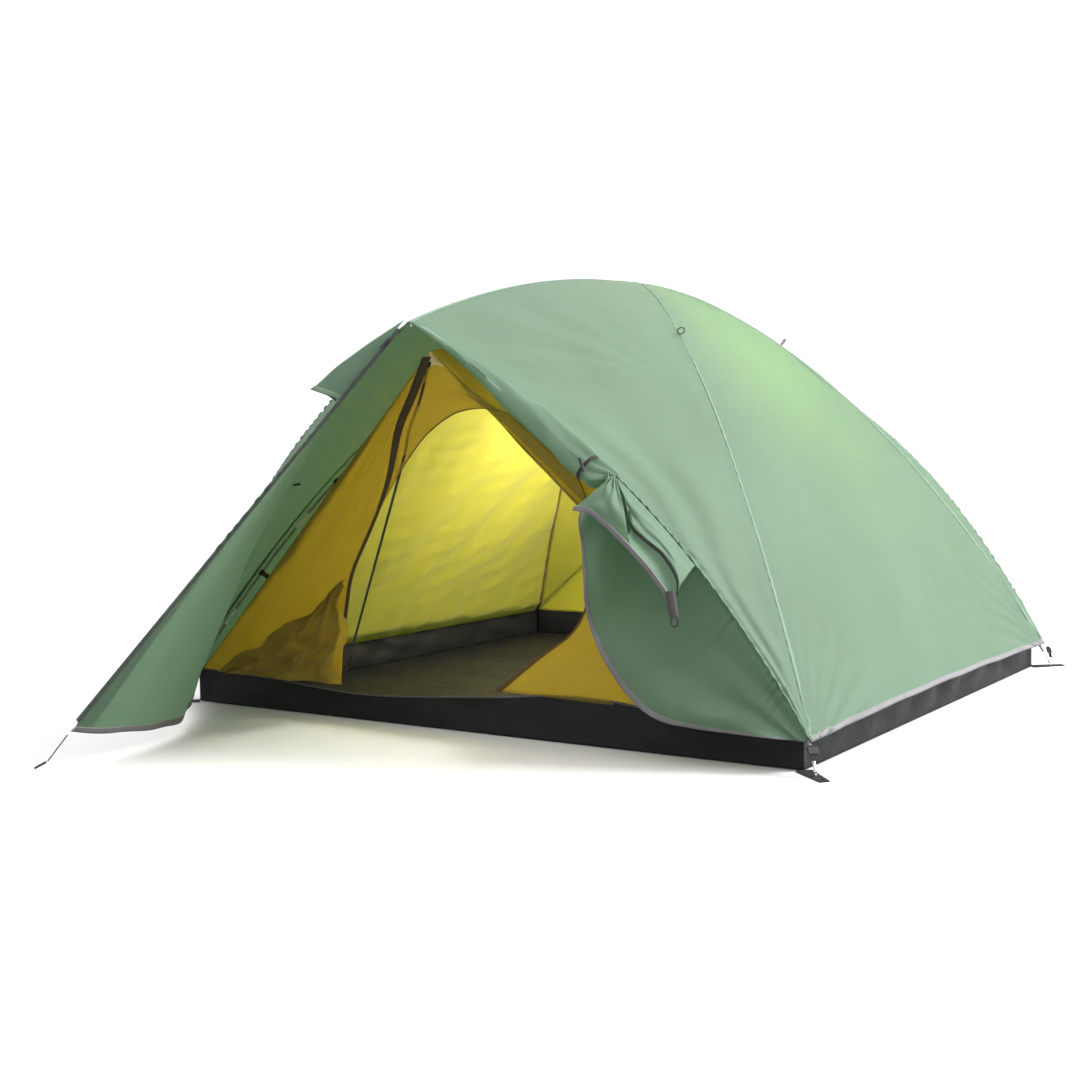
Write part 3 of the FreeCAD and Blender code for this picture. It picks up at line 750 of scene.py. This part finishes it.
def flap_surface(u, v):
    """From the seam, v 0, to the free edge, v 1, and from the tie to the corner with u."""
    top = seam("b", TIE_PART - 0.01 + (1.01 - TIE_PART) * u)
    top = top + np.array([-0.002, 0.010, 0.006])
    low = smooth_line(FLAP_EDGE, u)
    base = top * (1 - v[..., None]) + low * v[..., None]
    wide = np.linalg.norm(low - top, axis=-1)
    front = np.array([0.25, -0.95, 0.15])
    belly = -0.030 * np.sin(v * math.pi) * smooth(u, 0, 0.25) * (1 - u) ** 0.6
    belly = belly + 0.045 * np.exp(-((v - 0.80) / 0.16) ** 2) * smooth(u, 0.05, 0.30) * (1 - u)
    gather = np.sin(np.arctan2(v * wide + 0.01, u * 1.05 + 0.03) * 15) * 0.016
    gather = gather * np.exp(-((u - 0.12) / 0.20) ** 2)
    long_folds = np.sin(u * 38 + 3 * v + 1.5 * ripple(u, v, 0.4, 9)) * 0.007 * v * (1 - u * 0.6) * np.sin(
        np.clip(v, 0, 1) * math.pi * 0.55)
    fans = np.sin(np.arctan2(v * wide, (1 - u) + 0.06) * 24) * 0.007
    fans = fans * np.exp(-((1 - u) / 0.35) ** 2)
    small = ripple(u * 1.1, v * wide, 0.16, 4) * 0.004
    stitch = pucker(u * 1.1, v * wide, 0.030, 0.045, 6) * 0.004
    move = (belly + gather + long_folds + fans + small) * np.minimum(1, v * wide / 0.03) + stitch
    return base + move[..., None] * front


panel("door_flap_cloth", flap_surface, (0.25, -0.95, 0.15), fly_cloth, ["door_flap"],
      size=(200, 90))
band("flap_binding", flap_surface, (0.25, -0.95, 0.15), hem_tape, ("b", 1), 0.045, lift=0.0, thick=0.0030)

# %% [markdown]
# ## The folds at the tie
# Under the tie the door's outer layer falls forward as a pointed lapel with a grey binding.
# Behind it a second fold hangs from the seam and ends in the dark zip, and both meet in a
# short strap with a hook.

# %% The lapel, the second fold and the strap
LAPEL_LEFT = np.array([[0.604, -1.122, 0.728], [0.575, -1.165, 0.690], [0.527, -1.186, 0.649]])
LAPEL_RIGHT = np.array([
    [0.614, -1.124, 0.724], [0.655, -1.165, 0.677], [0.684, -1.190, 0.624], [0.700, -1.203, 0.588],
    [0.722, -1.206, 0.530]])
BINDING = np.array([
    [0.527, -1.186, 0.649], [0.587, -1.204, 0.643], [0.647, -1.212, 0.603], [0.700, -1.212, 0.557],
    [0.747, -1.206, 0.509], [0.782, -1.198, 0.462], [0.798, -1.192, 0.438]])
BACK_ZIP = np.array([
    [0.660, -1.140, 0.640], [0.677, -1.150, 0.598], [0.722, -1.156, 0.567], [0.761, -1.157, 0.541],
    [0.794, -1.162, 0.505], [0.813, -1.168, 0.473], [0.815, -1.177, 0.447]])
LAPEL_SHARE = 0.60
OVER = np.array([0.2, -0.9, 0.35])


def lapel_surface(u, v):
    """From the tie, u 0, to the bound edge, u 1, and from its left side to its right with v."""
    left, right = smooth_line(LAPEL_LEFT, u), smooth_line(LAPEL_RIGHT, u)
    low = smooth_line(BINDING, v * LAPEL_SHARE)
    first, last = smooth_line(LAPEL_LEFT, np.ones(1))[0], smooth_line(LAPEL_RIGHT, np.ones(1))[0]
    level = first + (last - first) * v[..., None]
    base = left * (1 - v[..., None]) + right * v[..., None] + (low - level) * (u ** 2)[..., None]
    curl = 0.014 * np.sin(v * math.pi) * np.sin(u * math.pi) + 0.004 * ripple(u * 0.2, v * 0.2, 0.08, 2)
    pleat = 0.006 * np.sin(v * 21) * np.exp(-(u / 0.35) ** 2) * np.minimum(1, u / 0.05)
    return base + (curl + pleat)[..., None] * OVER


def second_fold(u, v):
    """From the seam, v 0, to the dark zip, v 1, and down from the tie with u."""
    top = seam("b", TIE_PART + 0.01 + 0.19 * u) + np.array([0.0, -0.002, -0.002])
    low = smooth_line(BACK_ZIP, u)
    base = top * (1 - v[..., None]) + low * v[..., None]
    wave = 0.012 * np.sin(v * math.pi) + 0.007 * np.sin(v * 9 - 5 * u) * v + 0.003 * ripple(u, v, 0.3, 12)
    return base + (wave * np.minimum(1, u / 0.08))[..., None] * OVER


def under_fold(u, v):
    """The dark inner layer between the dark zip, v 0, and the bound edge, v 1."""
    top, low = smooth_line(BACK_ZIP, 0.12 + 0.88 * u), smooth_line(BINDING, 0.50 + 0.50 * u)
    base = top * (1 - v[..., None]) + low * v[..., None]
    return base - (0.016 * np.sin(v * math.pi) * (1 - 0.6 * u))[..., None] * OVER


def bound_edge(u, v):
    """A tape along the bound edge, v across it."""
    line = smooth_line(BINDING, u)
    return line + ((v - 0.5) * 0.015)[..., None] * np.array([0.55, -0.15, 0.80]) + 0.002 * OVER


def zip_edge(u, v):
    line = smooth_line(BACK_ZIP, u)
    return line + ((v - 0.5) * 0.009)[..., None] * np.array([0.55, -0.15, 0.80]) + 0.002 * OVER


def hook_strap(u, v):
    """A short strap that hangs from the point where both edges meet."""
    wide = np.array([0.86, 0.45, 0.10]) * 0.022
    line = np.array([0.802, -1.192, 0.452]) + np.array([0.012, -0.002, -0.062]) * u[..., None]
    return line + wide * (v - 0.5)[..., None] + (0.004 * np.sin(v * math.pi))[..., None] * OVER


for name, surface in (("door_lapel_cloth", lapel_surface), ("door_second_fold", second_fold),
                      ("door_under_fold", under_fold)):
    panel(name, surface, OVER, fly_cloth, size=(70, 60))
strap_tape = tape_finish("strap_tape", (0.10, 0.095, 0.10), stitch=(0.05, 0.05, 0.05))
for name, surface, finish in (("lapel_binding", bound_edge, hem_tape), ("fold_zip", zip_edge, zip_tape),
                              ("hook_strap", hook_strap, strap_tape)):
    band(name, surface, OVER, finish, ("b", 1), 1.0, lift=0.0, thick=0.0030, count=120)

bpy.ops.mesh.primitive_torus_add(
    major_radius=0.0085, minor_radius=0.0018, major_segments=28, minor_segments=8,
    location=(0.815, -1.195, 0.380), rotation=(math.radians(80), math.radians(8), math.radians(28)))
hook = bpy.context.object
hook.name = "strap_hook"
bpy.ops.object.mode_set(mode="EDIT")
bpy.ops.transform.resize(value=(1.0, 1.0, 1.5), center_override=(0.815, -1.195, 0.380))
bpy.ops.object.mode_set(mode="OBJECT")
bpy.ops.object.transform_apply(location=True, rotation=True, scale=True)
bpy.ops.object.shade_smooth()
hook.data.materials.append(black_plastic)
hook.select_set(False)
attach(hook, "tent")

# %% [markdown]
# ## Bindings and felled seams of the fly
# The fly's hem is bound with grey tape. Where two panels meet over a pole, or along a door
# seam, the seam is folded flat and stitched twice, which leaves a narrow raised band.

# %% Bindings and seams
SEAM_WIDE, TAPE_WIDE, CREST_LONG = 0.011, 0.017, 1.38
for name, (surface, out) in ends.items():
    hem = band("hem_binding_" + name, surface, out, hem_tape, ("a", 1), TAPE_WIDE / HEM_AT, lift=0.0,
               thick=0.003)
    if name == "right":
        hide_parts("fly_hem_tapes")
    for side, value in (("front", 0), ("rear", 1)):
        band(f"crease_seam_{name}_{side}", surface, out, seam_tape, ("b", value), SEAM_WIDE / 1.3,
             lift=0.0008, thick=0.0010, span=(0.02, 1))
for corner, (surface, out) in bodies.items():
    band("door_seam_" + corner, surface, out, seam_tape, ("b", 1), 0.030, lift=0.0010,
         thick=0.0014, span=(TIP_SHARE + 0.01, 1))
    band("ridge_seam_" + corner, surface, out, seam_tape, ("b", 1), 0.012, lift=0.0008,
         thick=0.0010, span=(0.01, TIP_SHARE))
for name, (surface, out) in {
        "front": (left_side, left_out), "rear": (rear_right, rear_out),
        "rear_door": (rear_door, rear_door_out)}.items():
    band("vestibule_hem_" + name, surface, out, hem_tape, ("a", 1), TAPE_WIDE / CREST_LONG, lift=0.0,
         thick=0.003)
    band("crest_seam_" + name, surface, out, seam_tape, ("b", 0), 0.05, lift=0.0012,
         thick=0.0016, span=(0.03, 1))

# %% [markdown]
# ## Vent hoods
# A small hood stands up over the vent beside the crest, on its folding prop. Its mouth opens
# down and to the left, and its lip is doubled and stitched.

# %% Vent hoods
HOOD_TOP, HOOD_CREST = np.array([-0.010, -1.176, 1.150]), np.array([-0.130, -1.306, 0.935])
HOOD_LIP, HOOD_SIDE = np.array([-0.187, -1.345, 0.958]), np.array([-0.225, -1.218, 0.942])
HOOD_OUT = np.array([-0.53, -0.55, 0.65])


def hood_surface(u, v):
    """Down from the ridge tip with u. v goes from the crest over the lip to the left panel."""
    first, second = np.clip(v / 0.35, 0, 1)[..., None], np.clip((v - 0.35) / 0.65, 0, 1)[..., None]
    rim = HOOD_CREST + (HOOD_LIP - HOOD_CREST) * first + (HOOD_SIDE - HOOD_LIP) * second
    top = HOOD_TOP + np.array([-0.030, 0.006, -0.012]) * v[..., None]
    base = top + (rim - top) * u[..., None]
    round_top = 0.016 * np.sin(np.clip(v, 0, 1) * math.pi) ** 0.8
    round_top = round_top * np.sin(np.clip(u, 0, 1) * math.pi * 0.62)
    small = 0.003 * ripple(u * 0.25, v * 0.25, 0.09, 6) * u
    return base + (round_top + small)[..., None] * HOOD_OUT


for name, surface, out in (("front", hood_surface, HOOD_OUT),
                           ("rear", turned(hood_surface), HOOD_OUT * np.array([-1, -1, 1]))):
    panel("vent_hood_cloth_" + name, surface, out, fly_cloth, ["vent_hood_" + name], size=(50, 60))
    band("vent_hood_lip_" + name, surface, out, seam_tape, ("a", 1), 0.05, lift=0.0,
         thick=0.003)

# %% [markdown]
# ## The inner tent
# It hangs from clips a hand's breadth under the poles. Its cloth is the same kind of thin
# weave in yellow, slack enough to ripple, over a black floor whose walls turn up all round.

# %% Inner tent walls
PEAK = np.array([0.0, -1.081, 1.070])


def inner_end_surface(near, far, seed):
    side = CORNERS[near][0]
    out = np.array([side * 0.8, 0, 0.6])

    def surface(u, v):
        one, two = inner_crease(near, u), inner_crease(far, u)
        base = one * (1 - v[..., None]) + two * v[..., None]
        wide = np.linalg.norm(two - one, axis=-1)
        hold = np.minimum(1, np.minimum(v, 1 - v) * wide / 0.04) * np.minimum(1, (1 - u) / 0.05)
        dip = -0.035 * 4 * v * (1 - v) * np.sin(u * math.pi) ** 0.7
        folds = ripple(v * wide, u * 0.7, 0.24, seed) * 0.009
        folds = folds + ripple(v * wide, u * 1.9, 0.08, seed) * 0.0022
        creases = np.sin(v * wide * 30 + 2.5 * ripple(v, u, 0.5, seed)) * 0.0030 * smooth(u, 0.5, 0.95)
        return base + ((dip + folds + creases) * hold)[..., None] * out

    return surface, out


def inner_roof_surface(corner, seed):
    sx, sy = CORNERS[corner]
    out = np.array([sx * 0.45, sy * 0.55, 0.70])
    peak = PEAK * np.array([1, -sy, 1])

    def surface(u, v):
        rim = inner_crease(corner, u)
        base = rim * (1 - v[..., None]) + peak * v[..., None]
        wide = np.linalg.norm(peak - rim, axis=-1)
        hold = np.sin(v * math.pi) * np.minimum(1, u / 0.05) * np.minimum(1, (1 - u) / 0.05)
        folds = np.sin(np.arctan2(u * 1.9, v * wide + 0.1) * 14 + seed) * 0.006
        folds = folds + ripple(u * 1.9, v * wide, 0.22, seed) * 0.008 - 0.02
        return base + (folds * hold)[..., None] * out

    return surface, out


for name, near, far in (("right", "b", "c"), ("left", "a", "d")):
    surface, out = inner_end_surface(near, far, 41 if name == "right" else 47)
    panel("inner_end_cloth_" + name, surface, out, inner_cloth, ["inner_end_" + name])
    for side, value in (("front", 0), ("rear", 1)):
        band(f"inner_seam_{name}_{side}", surface, out, gold_seam, ("b", value), 0.011,
             lift=-0.001, thick=0.0012, span=(0.05, 1))
# The two front roof panels take the darker copy of the yellow cloth: painted shade.
for corner, name in (("a", "front_left"), ("b", "front_right"), ("c", "rear_right"), ("d", "rear_left")):
    surface, out = inner_roof_surface(corner, 60 + ord(corner))
    panel("inner_roof_cloth_" + name, surface, out, shaded_inner_cloth if corner in "ab" else inner_cloth,
          ["inner_roof_" + name])

# %% [markdown]
# ## The inner tent's doorways
# The front wall is cut away as a tall D. What is left is the cloth outside the zip on the left,
# one curved piece round the arch, and the door itself, dropped in a crumpled layer at the left.
# The rear wall is closed.

# %% Front and rear walls of the inner tent
FOOT_HIGH, FOOT_Y, WALL_HALF = 0.100, -0.970, 1.044


def wall_point(x, z):
    """A point of the front wall, which leans out from the floor to the peak."""
    return point(x, FOOT_Y + (PEAK[1] - FOOT_Y) * (z - FOOT_HIGH) / (PEAK[2] - FOOT_HIGH), z)


ZIP_LINE = np.array([           # the doorway's zip, down from the peak
    [0.000, 0, 1.070], [-0.013, 0, 1.048], [-0.079, 0, 0.938], [-0.130, 0, 0.870], [-0.185, 0, 0.715],
    [-0.252, 0, 0.600], [-0.364, 0, 0.437], [-0.420, 0, 0.250], [-0.450, 0, 0.100]])
ARCH = np.array([               # the doorway's free edge, from the zip over the arch to the floor
    [-0.362, 0, 0.440], [-0.301, 0, 0.540], [-0.211, 0, 0.658], [-0.096, 0, 0.794], [-0.006, 0, 0.868],
    [0.085, 0, 0.907], [0.147, 0, 0.918], [0.300, 0, 0.880], [0.400, 0, 0.800], [0.463, 0, 0.707],
    [0.484, 0, 0.640], [0.470, 0, 0.480], [0.428, 0, 0.323], [0.351, 0, 0.278], [0.233, 0, 0.206],
    [0.120, 0, 0.125]])
ROUND_ARCH = np.array([         # what the cloth beyond that edge reaches: the zip, peak and corner
    [-0.366, 0, 0.436], [-0.185, 0, 0.715], [-0.130, 0, 0.870], [-0.013, 0, 1.048], [0.000, 0, 1.070],
    [0.250, 0, 0.846], [0.480, 0, 0.640], [0.760, 0, 0.380], [1.044, 0, 0.105]])


def wall_left(u, v):
    """u down from the peak, v from the zip to the tent's left edge."""
    zip_at = smooth_line(ZIP_LINE, u)
    z = zip_at[..., 2] * (1 - v) + (PEAK[2] + (FOOT_HIGH - PEAK[2]) * u) * v
    x = zip_at[..., 0] * (1 - v) - WALL_HALF * u * v
    slack = ripple(v * 0.6, u, 0.2, 71) * 0.014 + np.sin(np.arctan2(v * 0.6, u + 0.02) * 22) * 0.008
    return wall_point(x, z) + (slack * np.sin(v * math.pi) * u)[..., None] * np.array([0, -1, 0.2])


def wall_right(u, v):
    """u along the arch of the doorway, v out to the zip, the peak and the right corner."""
    inner, outer = smooth_line(ARCH, u), smooth_line(ROUND_ARCH, u)
    x, z = (inner[..., k] * (1 - v) + outer[..., k] * v for k in (0, 2))
    slack = ripple(v * 0.3, u * 1.6, 0.16, 75) * 0.007 + np.sin(u * 46 + 5 * v) * 0.003
    return wall_point(x, z) + (slack * np.sin(v * math.pi))[..., None] * np.array([0, -1, 0.2])


def door_zip(u, v):
    """The zip's folded tape, broad at the peak and narrow below."""
    line = smooth_line(ZIP_LINE, 0.015 + 0.80 * u)
    half = 0.015 - 0.009 * smooth(u, 0.15, 0.6)
    x = line[..., 0] + (v - 0.5) * 2 * half
    return wall_point(x, line[..., 2]) + np.array([0, -0.004, 0])


def wall_rear(u, v):
    x = u * (2 * v - 1) * WALL_HALF
    z = PEAK[2] + (FOOT_HIGH - PEAK[2]) * u
    slack = ripple(v * 2, u, 0.3, 79) * 0.010 * np.sin(v * math.pi) * u * (1 - u) * 3
    return (wall_point(x, z) + slack[..., None] * np.array([0, -1, 0])) * np.array([-1, -1, 1])


FRONT = (0, -1, 0.1)
# Both front wall pieces take the darker copy of the yellow cloth: painted shade.
panel("inner_front_left_cloth", wall_left, FRONT, shaded_inner_cloth, ["inner_front_wall"])
panel("inner_front_right_cloth", wall_right, FRONT, shaded_inner_cloth)
panel("inner_rear_cloth", wall_rear, (0, 1, 0.1), inner_cloth, ["inner_rear_wall"])
brown_zip = tape_finish("brown_zip", (0.10, 0.065, 0.030), stitch=(0.04, 0.03, 0.015))
band("doorway_zip", door_zip, FRONT, brown_zip, ("b", 1), 1.0, 0.0, 0.0030)
band("doorway_binding", wall_right, FRONT, gold_seam, ("b", 0), 0.025, 0.0, 0.0030)

# %% The dropped inner door
def heap_surface(u, v):
    """A thin crumpled layer: a slanting top edge, u 0, and a ragged right edge, v 0."""
    top = 0.425 - 0.300 * v ** 0.85 + 0.010 * np.sin(v * 17)
    right = -0.372 - 0.060 * u - 0.022 * np.sin(u * 9.5) * (1 - 0.3 * u)
    x = right * (1 - v) - 0.900 * v
    z = top * (1 - u) + 0.104 * u
    fans = np.sin(np.arctan2(u * 0.32 + 0.02, v * 0.5 + 0.02) * 15) * 0.012
    crumple = ripple(u * 0.33, v * 0.5, 0.10, 83) * 0.011 + ripple(u * 0.33, v * 0.5, 0.045, 84) * 0.004
    y = -1.026 + 0.030 * u - fans - crumple
    return point(x, y, z)


# The dropped door takes the darker copy of the yellow cloth too: painted shade.
panel("inner_door_heap", heap_surface, FRONT, shaded_inner_cloth, ["inner_door_bundle"],
      (70, 110))

# %% [markdown]
# ## The floor and its walls
# The floor is one black tray. Its walls stand about a hand high and have a grey piping. The
# front one sags under the doorway and rises to its right, where the cloth is pulled up.

# %% Floor tray
FLOOR_TOP, WALL_IN = 0.002, 0.0008


def tray_surface(u, v):
    x, y = (2 * v - 1) * FLOOR_HALF[0], (2 * u - 1) * FLOOR_HALF[1]
    rim = np.minimum(1, np.minimum(np.minimum(u, 1 - u), np.minimum(v, 1 - v)) / 0.03)
    return point(x, y, 0.0028 + (0.004 * (1 + ripple(x, y, 0.35, 91))) * rim)


def tray_wall(side):
    """One upright wall: v along it, u up from the floor."""
    def surface(u, v):
        along = 2 * v - 1
        high = 0.110 + 0.003 * ripple(v * 2, u * 0, 0.4, 93)
        if side == "front":
            high = 0.108 - 0.030 * np.exp(-((along + 0.35) / 0.32) ** 2) + 0.028 * np.exp(
                -((along - 0.38) / 0.20) ** 2)
        bow = (0.006 * ripple(v * 2.1, u * 0.2, 0.25, 97) + 0.006) * np.sin(u * math.pi)
        bow = bow * np.minimum(1, (1 - np.abs(along)) / 0.05)
        face = -1 if side in ("front", "left") else 1
        z = FLOOR_TOP + u * (high - FLOOR_TOP)
        if side in ("front", "rear"):
            return point(along * FLOOR_HALF[0], face * (FLOOR_HALF[1] - WALL_IN - bow), z)
        return point(face * (FLOOR_HALF[0] - WALL_IN - bow), along * FLOOR_HALF[1], z)
    return surface


panel("floor_cloth_tray", tray_surface, (0, 0, 1), floor_cloth, ["inner_floor"],
      (90, 90))
for name, out in (("front", (0, -1, 0)), ("rear", (0, 1, 0)), ("left", (-1, 0, 0)), ("right", (1, 0, 0))):
    wall, stands_for = tray_wall(name), ["bathtub_walls"] if name == "front" else ()
    panel("tray_wall_" + name, wall, out, floor_cloth, stands_for, (24, 160))
    band("tray_piping_" + name, wall, out, tray_piping, ("a", 1), 0.045, lift=0.0,
         thick=0.0022)
